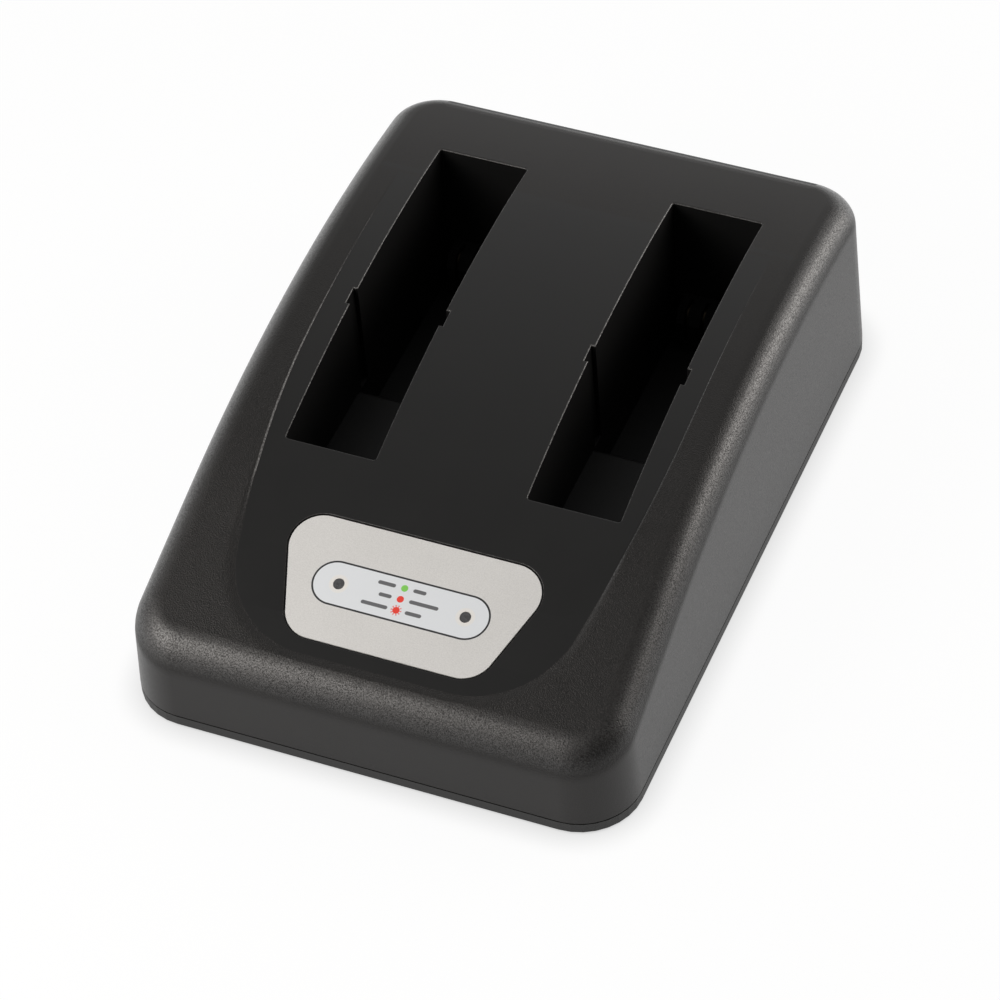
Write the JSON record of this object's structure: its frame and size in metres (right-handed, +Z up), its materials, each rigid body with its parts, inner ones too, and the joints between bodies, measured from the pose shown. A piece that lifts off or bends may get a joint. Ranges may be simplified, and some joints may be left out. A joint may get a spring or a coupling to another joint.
{
  "type": "battery charger",
  "caption": "Desktop battery charger with a rounded sloping case, deep drop-in bays for packs, a silver label with indicator windows and a rear mains inlet.",
  "frame": {"origin": "on the table under the middle of the case, at the underside of the feet", "axes": "+X to the right across the front, +Y from front to rear, +Z up"},
  "size_m": [0.1484, 0.2142, 0.0609],
  "materials": {
    "case_plastic": "fine leather grain, moulded",
    "label_film": "silver-grey printed film with a fine speckle",
    "window_smoke": "smoked acrylic, polished face",
    "lamp_white": "moulded white body",
    "board_laminate": "green solder mask on glass laminate",
    "block_plastic": "black glass-filled plastic",
    "contact_metal": "thin gold plating",
    "steel": "bright zinc plating",
    "sink_aluminium": "extruded, mill finish",
    "ivory_plastic": "moulded",
    "fuse_metal": "bright end caps on a glass tube",
    "film_resin": "yellow moulded box",
    "winding_wire": "enamelled copper wire under clear tape",
    "ferrite": "pressed and sintered",
    "can_sleeve": "shrink sleeve on an aluminium can",
    "resistor_coat": "dull coating",
    "foot_rubber": "moulded rubber"
  },
  "bodies": {
    "root": {"top_shell": "case_plastic", "base_plate": "case_plastic", "label_plate": "label_film", "light_pipe_left": "window_smoke", "light_pipe_right": "window_smoke", "indicator_leds": "lamp_white", "main_board": "board_laminate", "contact_block_left": "block_plastic", "contact_block_right": "block_plastic", "mains_inlet": "block_plastic", "bridge_rectifier": "block_plastic", "switching_transistor": "block_plastic", "output_rectifier": "block_plastic", "charge_controller": "block_plastic", "optocoupler": "block_plastic", "contact_blades_left": "contact_metal", "contact_blades_right": "contact_metal", "inlet_pins": "steel", "heat_sink_screws": "steel", "board_screws": "steel", "housing_screws": "steel", "input_heat_sink": "sink_aluminium", "output_heat_sink": "sink_aluminium", "fuse_holder": "ivory_plastic", "fuse": "fuse_metal", "filter_capacitor": "film_resin", "line_choke": "winding_wire", "transformer_coil": "winding_wire", "output_inductor": "winding_wire", "transformer_core": "ferrite", "bulk_capacitor": "can_sleeve", "output_capacitors": "can_sleeve", "sense_resistors": "resistor_coat", "rubber_feet": "foot_rubber"}
  },
  "joints": []
}
